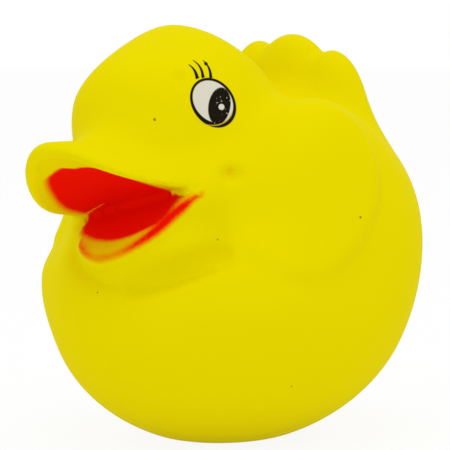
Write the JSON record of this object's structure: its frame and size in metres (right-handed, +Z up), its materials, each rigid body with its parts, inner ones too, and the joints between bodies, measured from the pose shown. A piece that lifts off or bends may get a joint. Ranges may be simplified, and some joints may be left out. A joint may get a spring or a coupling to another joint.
{
  "type": "bath duck",
  "caption": "Hollow soft vinyl bath duck with a cocked head, an open red bill, printed eyes with lashes, raised wings and a fan tail; a squeaker sits in the flat base.",
  "frame": {"origin": "bottom centre of the bounding box, on the flat of the base", "axes": "+Z up; the bill points to -Y and the tail to +Y; the duck's left wing is at +X and its head leans to -X"},
  "size_m": [0.0796, 0.0994, 0.0909],
  "materials": {
    "vinyl": "satin",
    "plug": "satin"
  },
  "bodies": {
    "root": {"duck_body": "vinyl", "squeaker": "plug"}
  },
  "joints": []
}
